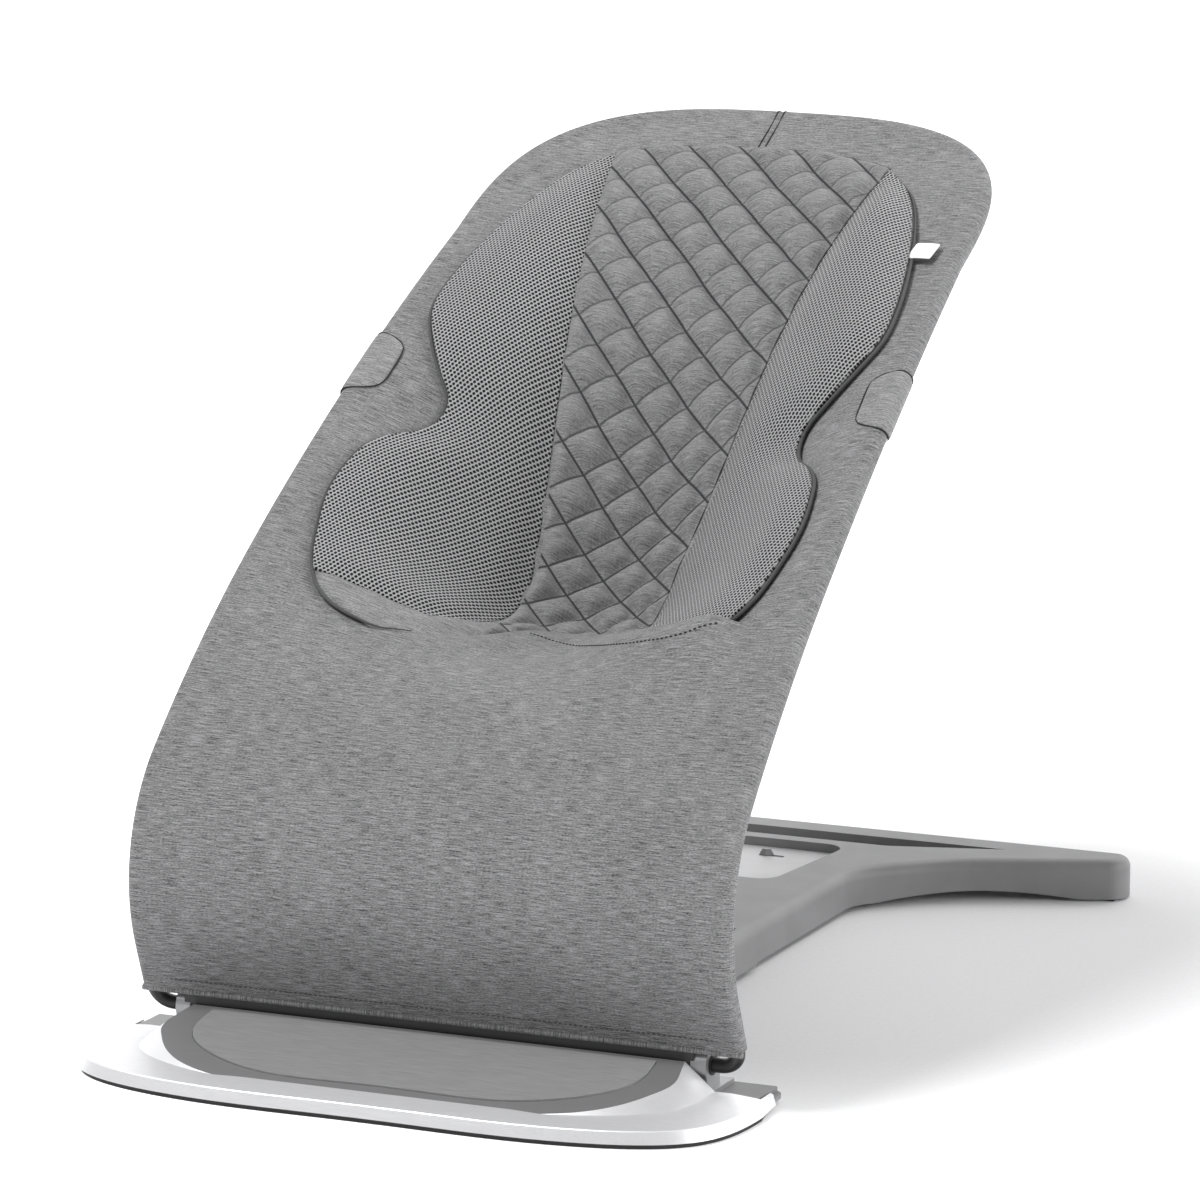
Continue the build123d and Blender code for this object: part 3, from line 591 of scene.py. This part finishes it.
CAD_MATERIALS = {
    "black_steel": grained("black_powder_coat", grey(0.016), 0.38, 1500.0, 0.00015),
    "zinc_steel": brushed("zinc_plate", grey(0.55), 0.34, 1.0, (900, 900, 900)),
    "satin_aluminium": brushed("satin_aluminium", grey(0.83), 0.43, 0.58),
    "inlay_grey": brushed("inlay_film", grey(0.25), 0.5, 0.0, (60, 1500, 1500), 0.16),
    "light_grey_plastic": grained("light_grey_plastic", grey(0.22), 0.5),
    "mid_grey_plastic": grained("mid_grey_plastic", grey(0.212), 0.5),
    "hatch_grey": grained("hatch_plastic", grey(0.46), 0.4),
    "lever_grey": grained("lever_plastic", grey(0.22), 0.35),
    "black_rubber": grained("black_rubber", grey(0.018), 0.7, 1200.0, 0.0002),
    "silver_bracket": brushed("silver_bracket", grey(0.4), 0.42, 0.8, (900, 900, 900)),
    "black_nylon": grained("black_nylon", grey(0.02), 0.5),
}

# Painted shade darkens the plate's ramp.
painted_ramp_shade(CAD_MATERIALS["satin_aluminium"])

for part in frame["record"]["subparts"]:
    material = CAD_MATERIALS.get(part["material_slot"])
    if material:
        obj = frame["nodes"][part["node"]]
        obj.data.materials.clear()
        obj.data.materials.append(material)

# Painted shade: the clips sit deep in their slots and are given black so they read as dark openings.
frame["nodes"]["joint_catches"].data.materials.clear()
frame["nodes"]["joint_catches"].data.materials.append(CAD_MATERIALS["black_nylon"])


# ---------------------------------------------------------------- cover


def lip_rise(x):
    """How far the pouch's upper edge stands off the sling, to take in the pad's lower end."""
    return LIP_RISE * smooth((x + 58) / 40) * smooth((158 - x) / 34)


def pouch_lift(x, s):
    """Extra height of the cover near the pouch's upper edge, with small folds in it."""
    lip = along(LIP, x)
    near = math.exp(-(((lip - s - 9) / 11) ** 2))
    fold = noise.noise(Vector((x * 0.06, s * 0.02, 11.0))) * 2.2 * near
    return lip_rise(x) * smooth((s - lip + 62) / 60) + fold * lip_rise(x) / LIP_RISE


def cover_rows():
    """Rows of the cover up to the corners, as functions of x giving (s, extra lift)."""
    def below(t):
        def row(x):
            s = HEM_S + (along(LIP, x) - HEM_S) * t
            return s, pouch_lift(x, s)
        return row

    def curl(angle):
        def row(x):
            k = lip_rise(x) / LIP_RISE
            r = 2.6 * k
            s = along(LIP, x) + r * math.sin(angle) + 0.25 * angle
            return s, lip_rise(x) - r * (1 - math.cos(angle))
        return row

    def under(t):
        def row(x):
            k = lip_rise(x) / LIP_RISE
            s = along(LIP, x) + 0.8 + 1.2 * t * (1 - k) - 5 * k * t
            return s, (lip_rise(x) - 5.2 * k) * (1 - t)
        return row

    def above(t):
        def row(x):
            k = lip_rise(x) / LIP_RISE
            start = along(LIP, x) + 2.4 - 6 * k
            return start + (CORNER_S - start) * t, 0.0
        return row

    rows = [below(j / 44) for j in range(45)]
    rows += [curl(math.pi * j / 5) for j in range(1, 6)]
    rows += [under(j / 5) for j in range(1, 6)]
    rows += [above(j / 52) for j in range(1, 53)]
    return rows


def cover_lift(x, s, to_edge):
    """Height of the cloth above the tubes' centre line; it dips a little inside the tubes."""
    inside = 1 - math.exp(-((max(to_edge, 0) / 11) ** 2))
    ripple = noise.noise(Vector((x * 0.018, s * 0.012, 3.1))) * 1.3
    ripple += noise.noise(Vector((x * 0.05, s * 0.03, 7.7))) * 0.35
    return SLEEVE_R + (CLOTH_LIFT - SLEEVE_R - 2.2 + ripple) * inside


def cover_column(i):
    """Place of a column of the cover, -1 to 1, closer together towards the tubes."""
    u = 2 * i / (COLUMNS - 1) - 1
    return math.copysign(1 - (1 - abs(u)) ** 1.15, u)


def cover_grid():
    """Points of the cloth between the tubes, and their (x, s) in metres as uvs."""
    verts, uvs = [], []

    def add(x, s, lift):
        verts.append(sling_point(x, s, lift))
        uvs.append((x * MM, s * MM))

    for row in cover_rows():
        for i in range(COLUMNS):
            u = cover_column(i)
            guess = row(u * FOOT_HALF_WIDTH)[0]
            s, extra = row(u * half_width(guess))
            x = u * half_width(s)
            add(x, s, cover_lift(x, s, half_width(s) - abs(x)) + extra)
    # Above the corners the grid is squeezed into the rounded top
    for j in range(1, CORNER_ROWS + 1):
        v = 1 - (1 - j / CORNER_ROWS) ** 1.1
        for i in range(COLUMNS):
            u = cover_column(i)
            x = CORNER_HALF_WIDTH * u * (1 - v**3 / 2) ** (1 / 3)
            s = CORNER_S + (TOP_S - CORNER_S) * v * (1 - abs(u) ** 3 / 2) ** (1 / 3)
            to_edge = min(half_width(min(s, TOP_S - 0.5)) - abs(x), (TOP_S - s) * 1.5)
            rim = min((1 - abs(u)) * 150, (1 - v) * 140)
            add(x, s, cover_lift(x, s, min(to_edge, rim)))
    return verts, uvs


def add_sleeve(verts, uvs, faces):
    """Rings of cloth from the grid's edge round the tubes and back under the sling."""
    total = len(verts) // COLUMNS
    # The edge runs from the left hem up, over the top and down to the right hem
    edge = [j * COLUMNS for j in range(total)]
    edge += [(total - 1) * COLUMNS + i for i in range(1, COLUMNS)]
    edge += [j * COLUMNS + COLUMNS - 1 for j in range(total - 2, -1, -1)]
    centres = [frame_point(uvs[k][0] / MM, uvs[k][1] / MM) for k in edge]
    rings = [(degrees, None) for degrees in SLEEVE_DEGREES] + [(None, end) for end in SLEEVE_ENDS]
    ring = edge
    for number, (degrees, end) in enumerate(rings, start=1):
        new_ring = []
        for k, index in enumerate(edge):
            u, v = uvs[index]
            s = v / MM
            up = up_at(s)
            before, after = centres[max(k - 2, 0)], centres[min(k + 2, len(edge) - 1)]
            out = up.cross((after - before).normalized()).normalized()
            if end:
                reach, lift = end
                tangent = Vector((1, 0, 0)).cross(up) * -1
                place = sling_point(u / MM - out.x * reach, min(s - out.dot(tangent) * reach, TOP_S), lift)
            else:
                a = math.radians(degrees)
                place = centres[k] + (out * math.sin(a) + up * math.cos(a)) * SLEEVE_R * MM
            new_ring.append(len(verts))
            verts.append(place)
            arc = SLEEVE_R * math.radians(22 * number) * MM
            at_side = abs(u) > 0.1 or v < 0.7
            uvs.append((u + math.copysign(arc, u), v) if at_side else (u, v + arc))
        for k in range(len(edge) - 1):
            faces.append((ring[k], new_ring[k], new_ring[k + 1], ring[k + 1]))
        ring = new_ring


def make_cover():
    """One piece of jersey over the whole frame, with a sleeve round the tubes at both sides
    and the top, and a fold at the pouch's upper edge."""
    verts, uvs = cover_grid()
    faces = grid_faces(COLUMNS, len(verts) // COLUMNS)
    add_sleeve(verts, uvs, faces)
    cover = new_object("seat_cover", verts, faces, uvs)
    bm = bmesh.new()
    bm.from_mesh(cover.data)
    bmesh.ops.recalc_face_normals(bm, faces=bm.faces)
    bm.to_mesh(cover.data)
    bm.free()
    cover.data.materials.append(cover_jersey)
    subdivide(cover)
    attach(cover, "seat")
    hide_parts("front_pouch", "seat_sling")
    return cover


# ---------------------------------------------------------------- pad


def quilt_seams(x, s):
    """Distances to the nearest seam of each diagonal family, and the families' phases."""
    def to_line(phase, gap):
        off = phase % 1.0
        return min(off, 1 - off) * gap

    main = (s + QUILT_SLOPE * x - 14.0) / QUILT_PITCH
    cross = (s - QUILT_CROSS_SLOPE * x + 3.0) / QUILT_CROSS_PITCH
    return to_line(main, QUILT_GAP), to_line(cross, QUILT_CROSS_GAP), main, cross


def puff(distance, width):
    return 1 - math.exp(-((max(distance, 0.0) / width) ** 1.6))


def make_quilt():
    """Quilted jersey in the middle: puffed diamonds between two families of seams."""
    columns, rows = 110, 250
    phases = {"main_phase": [], "cross_phase": [], "cross_depth": []}

    def place(a, b):
        u = 2 * a - 1
        s0 = PAD_BOTTOM_S + (PAD_TOP_S - PAD_BOTTOM_S) * b
        x = u * (quilt_edge(s0) - 0.4)
        bottom = along(LIP, x) - 7
        s = bottom + (pad_top(x) - 1.0 - bottom) * b
        wander = noise.noise(Vector((x * 0.03, s * 0.03, 1.0))) * 0.8
        main, cross, main_phase, cross_phase = quilt_seams(x + wander, s + wander)
        soft = 0.95 - 0.45 * smooth((s - 380) / 340)
        swell = puff(main, 4.2) * (1 - soft * (1 - puff(cross, 4.4)))
        edge = min(quilt_edge(s0) - abs(x), pad_top(x) - s)
        swell *= puff(edge, 5.0)
        wrinkle = noise.noise(Vector((x * 0.16, s * 0.1, 5.0))) * 0.55
        wrinkle += noise.noise(Vector((x * 0.35, s * 0.3, 9.0))) * 0.22
        for key, value in zip(phases, (main_phase, cross_phase, soft)):
            phases[key].append(value)
        lift = PANEL_LIFT + QUILT_RISE * swell + wrinkle * swell
        lift -= 6 * smooth((along(LIP, x) + 8 - s) / 15)
        flush = smooth((-12 - x) / 14) * (1 - smooth((s - along(LIP, x) + 7) / 22))
        lift += (cover_lift(x, s, 60) - 1.0 - lift) * flush
        return sling_point(x, s, lift), (x * MM, s * MM)

    quilt = grid_object("quilted_centre", columns, rows, place)
    for key, values in phases.items():
        attribute = quilt.data.attributes.new(key, "FLOAT", "POINT")
        attribute.data.foreach_set("value", values)
    quilt.data.materials.append(quilt_jersey)
    subdivide(quilt)
    thicken(quilt, 2.0)
    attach(quilt, "seat")
    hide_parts("quilt_panel")


def mesh_inner(s):
    return quilt_edge(s) + 28 * max((380 - s) / 58, 0) ** 3


def make_mesh_side(side):
    """Padded spacer mesh beside the quilted centre."""
    columns, rows = 34, 150
    start = 320.0 if side < 0 else 301.0
    end = 737.0

    def place(a, b):
        s = start + (end - start) * b
        inner = mesh_inner(max(s, 322)) if side < 0 else quilt_edge(s)
        outer = pad_edge(s) - 1.2
        x = inner + (outer - inner) * a
        if side > 0:
            tuck = along(LIP, x) - 7 - start
            s += max(tuck, 0) * (1 - b) ** 2
        from_inner, from_outer = x - inner, outer - x
        from_end = (s - start) * (1.6 if side < 0 else 0.6)
        swell = puff(from_inner, 13) * puff(from_outer, 16) * puff(from_end + 2, 16)
        swell *= puff((end - s) + 3, 24)
        sunk = 0.35 * math.exp(-(((s - 486) / 22) ** 2)) * smooth((x - 75) / 45)
        rise = MESH_RISE + (4.0 * smooth((s - 330) / 60) if side > 0 else 0)
        lift = PANEL_LIFT - 0.8 + rise * swell * (1 - sunk)
        lift += noise.noise(Vector((x * 0.02, s * 0.015, 2.0 + side))) * 1.2 * swell
        lift -= 6.0 * smooth((along(LIP, side * x) + 8 - s) / 15) if side > 0 else 0
        return sling_point(side * x, s, lift), (side * x * MM, s * MM)

    name = "mesh_side_left" if side < 0 else "mesh_side_right"
    panel = grid_object(name, columns, rows, place)
    panel.data.materials.append(spacer_mesh)
    if side < 0:
        panel.data.flip_normals()
    subdivide(panel)
    thicken(panel, 2.0)
    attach(panel, "seat")
    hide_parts("mesh_panel_left" if side < 0 else "mesh_panel_right")


def make_backing():
    """Plain jersey under the panels; it shows at the pad's lower corners."""
    columns, rows = 66, 120

    def place(a, b):
        u = 2 * a - 1
        s0 = BACKING_BOTTOM_S + (PAD_TOP_S - 0.5 - BACKING_BOTTOM_S) * b
        edge = pad_edge(s0)
        x = u * edge
        bottom = along(LIP, x) - 8
        s = s0 + max(bottom - BACKING_BOTTOM_S, 0) * (1 - b) ** 3
        near = (1 - abs(u)) * edge
        lift = BACKING_LIFT - 2.6 + 3.2 * puff(near, 5)
        lift += noise.noise(Vector((x * 0.07, s * 0.06, 4.0))) * 0.8 * puff(near, 10)
        patch = smooth((x + 112) / 16) * smooth((-22 - x) / 14) * (1 - smooth((s - bottom) / 24))
        lift += (cover_lift(x, s, 60) - 0.9 - lift) * patch
        lift -= 3.0 * smooth((bottom + 14 - s) / 14) * smooth((x + 30) / 20)
        return sling_point(x, s, lift), (x * MM, s * MM)

    backing = grid_object("pad_backing", columns, rows, place)
    backing.data.materials.append(flap_jersey)
    subdivide(backing)
    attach(backing, "seat")
    return backing


def make_piping():
    """Piping round the pad: full at the sides, thinner over the top; the thin dark cord across the top is
    the seam there and painted shadow along it.
    """
    def radius(t):
        return PIPING_R * MM * (1 - 0.5 * smooth((t - 0.72) / 0.2)) * smooth(t * 12 + 0.3)

    pieces = []
    for side in (-1, 1):
        points, normals = [], []
        if side < 0:
            for x, s in ((-76, 297), (-84, 293.5), (-92, 290)):
                points.append(sling_point(x, s, CLOTH_LIFT - 0.6))
                normals.append(up_at(s))
        for k in range(113):
            s = 289 + 449 * k / 112
            points.append(sling_point(side * (pad_edge(s) + 0.6), s, CLOTH_LIFT + 0.9))
            normals.append(up_at(s))
        pieces.append(sweep("piping", points, radius, 10, normals))
    # Across the top: a thin dark cord, the seam and painted shadow along it.
    across = []
    for k in range(49):
        x = -97.5 + 195 * k / 48
        across.append(sling_point(x, pad_top(x) - 0.2, BACKING_LIFT + 0.9))
    pieces.append(sweep("piping", across, PIPING_R * 0.45 * MM, 8))
    piping = join("pad_edge_piping", pieces)
    piping.data.materials.append(piping_jersey)
    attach(piping, "seat")
    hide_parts("pad_piping")


# ---------------------------------------------------------------- trim


def sleeve_point(side, s, degrees, radius):
    """Point round the side tube: 0 is on top, 90 outwards."""
    a = math.radians(degrees)
    centre = frame_point(side * half_width(s), s)
    out = Vector((side, 0, 0))
    return centre + (out * math.sin(a) + up_at(s) * math.cos(a)) * radius * MM


def make_flap(side):
    """Tab of jersey over the tube's joint, round at its inner corners."""
    columns, rows = 30, 28
    arc = SLEEVE_R + 1.0

    def place(a, b):
        run = a * (FLAP_WIDTH + arc * math.radians(150))
        half = FLAP_HALF_LENGTH - 7 * (1 - math.sqrt(max(1 - (1 - min(run / 12, 1)) ** 2, 0)))
        half -= 5 * (1 - smooth(run / FLAP_WIDTH))
        s = FLAP_MIDDLE_S + (2 * b - 1) * half
        near = min((1 - abs(2 * b - 1)) * half, run)
        rise = 1.5 * puff(near + 0.2, 1.2)
        if run < FLAP_WIDTH:
            x = half_width(s) - FLAP_WIDTH + run
            lift = cover_lift(x, s, FLAP_WIDTH - run) + rise
            return sling_point(side * x, s, lift), (side * run * MM, s * MM)
        degrees = math.degrees((run - FLAP_WIDTH) / arc)
        return sleeve_point(side, s, degrees, SLEEVE_R + rise), (side * run * MM, s * MM)

    name = "joint_flap_left" if side < 0 else "joint_flap_right"
    flap = grid_object(name, columns, rows, place)
    flap.data.materials.append(flap_jersey)
    subdivide(flap)
    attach(flap, "seat")
    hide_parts("tab_flap_left" if side < 0 else "tab_flap_right")


def make_flap_seam_shadows():
    """Dark cords round both flaps' edges: painted shadow of their seams."""
    def edge_point(side, run, along_s):
        s = FLAP_MIDDLE_S + along_s
        x = half_width(s) - FLAP_WIDTH + run
        return sling_point(side * x, s, cover_lift(x, s, FLAP_WIDTH - run) + 0.7)

    def half_edge(side, end):
        """From round the tube to the inner edge; end is 1 for the flap's upper half, -1 for its lower."""
        s = FLAP_MIDDLE_S + end * FLAP_HALF_LENGTH
        line = [sleeve_point(side, s, degrees, SLEEVE_R + 0.9) for degrees in (120, 90, 60, 30)]
        return line + [edge_point(side, run, end * half) for run, half in FLAP_CORNER]

    pieces = []
    for side in (-1, 1):
        line = half_edge(side, 1) + [edge_point(side, 0, 0)] + half_edge(side, -1)[::-1]
        pieces.append(sweep("seam", resample(line, 0.003), 0.55 * MM, 6))
    seam_shadows = join("flap_seam_shadows", pieces)
    seam_shadows.data.materials.append(dark_thread_and_seam_shadow)
    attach(seam_shadows, "seat")


def make_hem():
    """Bound lower edge of the cover, with its row of stitches."""
    points, normals = [], []
    for k in range(41):
        x = -200 + 400 * k / 40
        points.append(frame_point(x, HEM_S - 1.0, SLEEVE_R - 1.6))
        normals.append(up_at(HEM_S))
    hem = sweep("hem_edge", points, 2.0 * MM, 12, normals)
    hem.data.materials.append(cover_jersey)
    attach(hem, "seat")
    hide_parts("hem_binding")
    line = [frame_point(-190 + 380 * k / 60, HEM_S + 8, SLEEVE_R - 1.0) for k in range(61)]
    row = stitches("hem_stitches", line, lambda p: up_at(HEM_S), 3.4, 2.3, 0.4)
    row.data.materials.append(piping_jersey)
    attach(row, "seat")


def make_hem_shadow_sheet():
    """Black sheet under the hem, painted shadow of the gap there: it hangs in front of the cross tube."""
    def place(a, b):
        x = -171 + 340 * a
        s = HEM_S + 1 - (HEM_S + 4.5) * b
        return frame_point(x, s, 3.0 + 7.3 * b**0.6), (x * MM, s * MM)

    shadow_sheet = grid_object("hem_shadow_sheet", 40, 8, place)
    shadow_sheet.data.materials.append(CAD_MATERIALS["black_nylon"])
    thicken(shadow_sheet, 0.8)
    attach(shadow_sheet, "seat")


def make_topstitch():
    """Stitches below the pouch's upper edge."""
    line = []
    for k in range(60):
        x = -18 + 157 * k / 59
        s = along(TOPSTITCH, x)
        lift = cover_lift(x, s, half_width(s) - abs(x)) + pouch_lift(x, s) + 0.1
        line.append(sling_point(x, s, lift))
    row = stitches("pouch_stitches", line, lambda p: up_at(320), 3.4, 1.9, 0.5)
    row.data.materials.append(dark_thread_and_seam_shadow)
    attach(row, "seat")


def make_top_seam():
    """Double seam across the cover's top band."""
    pieces = []
    for x in (-8.0, -3.5):
        line = []
        for k in range(16):
            s = PAD_TOP_S + 1 + (TOP_S - PAD_TOP_S - 1) * k / 15
            lift = cover_lift(x, s, (TOP_S - s) * 1.5) + 0.4
            line.append(sling_point(x + 1.5 * (1 - k / 15), s, lift))
        for degrees in (30, 60, 90, 120):
            a = math.radians(degrees)
            s = TOP_S + SLEEVE_R * math.sin(a)
            line.append(frame_point(x, s, SLEEVE_R * math.cos(a)))
        pieces.append(sweep("seam", resample(line, 0.002), 0.45 * MM, 6))
    seam = join("top_band_seam", pieces)
    seam.data.materials.append(dark_thread_and_seam_shadow)
    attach(seam, "seat")


def make_tag():
    """Small blank woven tag beside the pad."""
    def place(a, b):
        x = 142 + 17 * a + 2.0 * b
        s = 644.5 + 16 * b - 2.0 * a
        lift = CLOTH_LIFT + 2.0 + 0.8 * math.sin(a * 2.2)
        return sling_point(x, s, lift), (x * MM, s * MM)

    tag = grid_object("blank_tag", 12, 10, place)
    tag.data.materials.append(tag_cloth)
    subdivide(tag)
    thicken(tag, 0.5)
    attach(tag, "seat")
    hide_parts("label_tag")


cover = make_cover()
backing = make_backing()
make_quilt()
for side in (-1, 1):
    make_mesh_side(side)
make_piping()
for side in (-1, 1):
    make_flap(side)
# Painted seam shadow round the flaps.
make_flap_seam_shadows()
make_hem()
# Painted shadow: a black sheet under the hem.
make_hem_shadow_sheet()
make_topstitch()
make_top_seam()
make_tag()


# ---------------------------------------------------------------- studio


def make_stage():
    """Pale floor that curves up into a backdrop behind the seat."""
    profile = [(-STAGE_HALF_WIDTH, 0.0), (STAGE_BACK, 0.0)]
    for k in range(1, 13):
        a = math.radians(90 * k / 12)
        profile.append((STAGE_BACK + STAGE_CURVE * math.sin(a), STAGE_CURVE * (1 - math.cos(a))))
    profile.append((STAGE_BACK + STAGE_CURVE, STAGE_HEIGHT))
    verts = [(x, y, z) for y, z in profile for x in (-STAGE_HALF_WIDTH, STAGE_HALF_WIDTH)]
    faces = [(2 * k, 2 * k + 1, 2 * k + 3, 2 * k + 2) for k in range(len(profile) - 1)]
    stage = new_object("studio_floor", verts, faces)
    n = Nodes("pale_paper")
    where = n.add("TexCoord").outputs["Object"]
    n.color(n.ramp(n.noise(where, 300.0, 2.0, 0.5), ((0.3, 0.74), (0.7, 0.77))))
    n.set(Roughness=0.9, Specular_IOR_Level=0.1)
    # Away from the seat the paper is lit to plain white
    away = n.add("VectorMath", operation="DISTANCE")
    n.link(where, away.inputs[0])
    away.inputs[1].default_value = (0.1, 0.35, 0.0)
    glow = n.map_range(away.outputs["Value"], GLOW_START, GLOW_END, high=GLOW_STRENGTH)
    n.set(Emission_Color=(1, 1, 1, 1))
    n.link(glow, n.shader.inputs["Emission Strength"])
    stage.data.materials.append(n.material)


def area_light(name, place, target, size, power):
    data = bpy.data.lights.new(name, "AREA")
    data.shape = "DISK"
    data.size = size
    data.energy = power
    light = bpy.data.objects.new(name, data)
    light.location = place
    direction = Vector(target) - Vector(place)
    light.rotation_euler = direction.to_track_quat("-Z", "Y").to_euler()
    bpy.context.scene.collection.objects.link(light)


def make_camera():
    a, e = math.radians(VIEW_AZIMUTH), math.radians(VIEW_ELEVATION)
    back = Vector((math.sin(a) * math.cos(e), -math.cos(a) * math.cos(e), math.sin(e)))
    right = Vector((math.cos(a), math.sin(a), 0))
    up = back.cross(right)
    data = bpy.data.cameras.new("camera")
    data.lens = VIEW_LENS
    data.sensor_width = SENSOR
    camera = bpy.data.objects.new("camera", data)
    place = Matrix((right, up, back)).transposed().to_4x4()
    place.translation = VIEW_TARGET + back * VIEW_DISTANCE
    camera.matrix_world = place
    bpy.context.scene.collection.objects.link(camera)
    bpy.context.scene.camera = camera


make_stage()
make_camera()
area_light("key", (-1.3, -1.0, 3.2), (0, 0.3, 0.25), 1.4, 108)
area_light("fill", (3.0, 0.1, 0.9), (0, 0.3, 0.1), 1.6, 44)
area_light("back", (0.4, 2.0, 2.4), (0, 0.3, 0.1), 2.0, 30)
world = bpy.data.worlds.new("studio")
bpy.context.scene.world = world
world.use_nodes = True
world.node_tree.nodes["Background"].inputs["Color"].default_value = (1, 1, 1, 1)
world.node_tree.nodes["Background"].inputs["Strength"].default_value = 0.27
bpy.context.scene.view_settings.view_transform = "Standard"
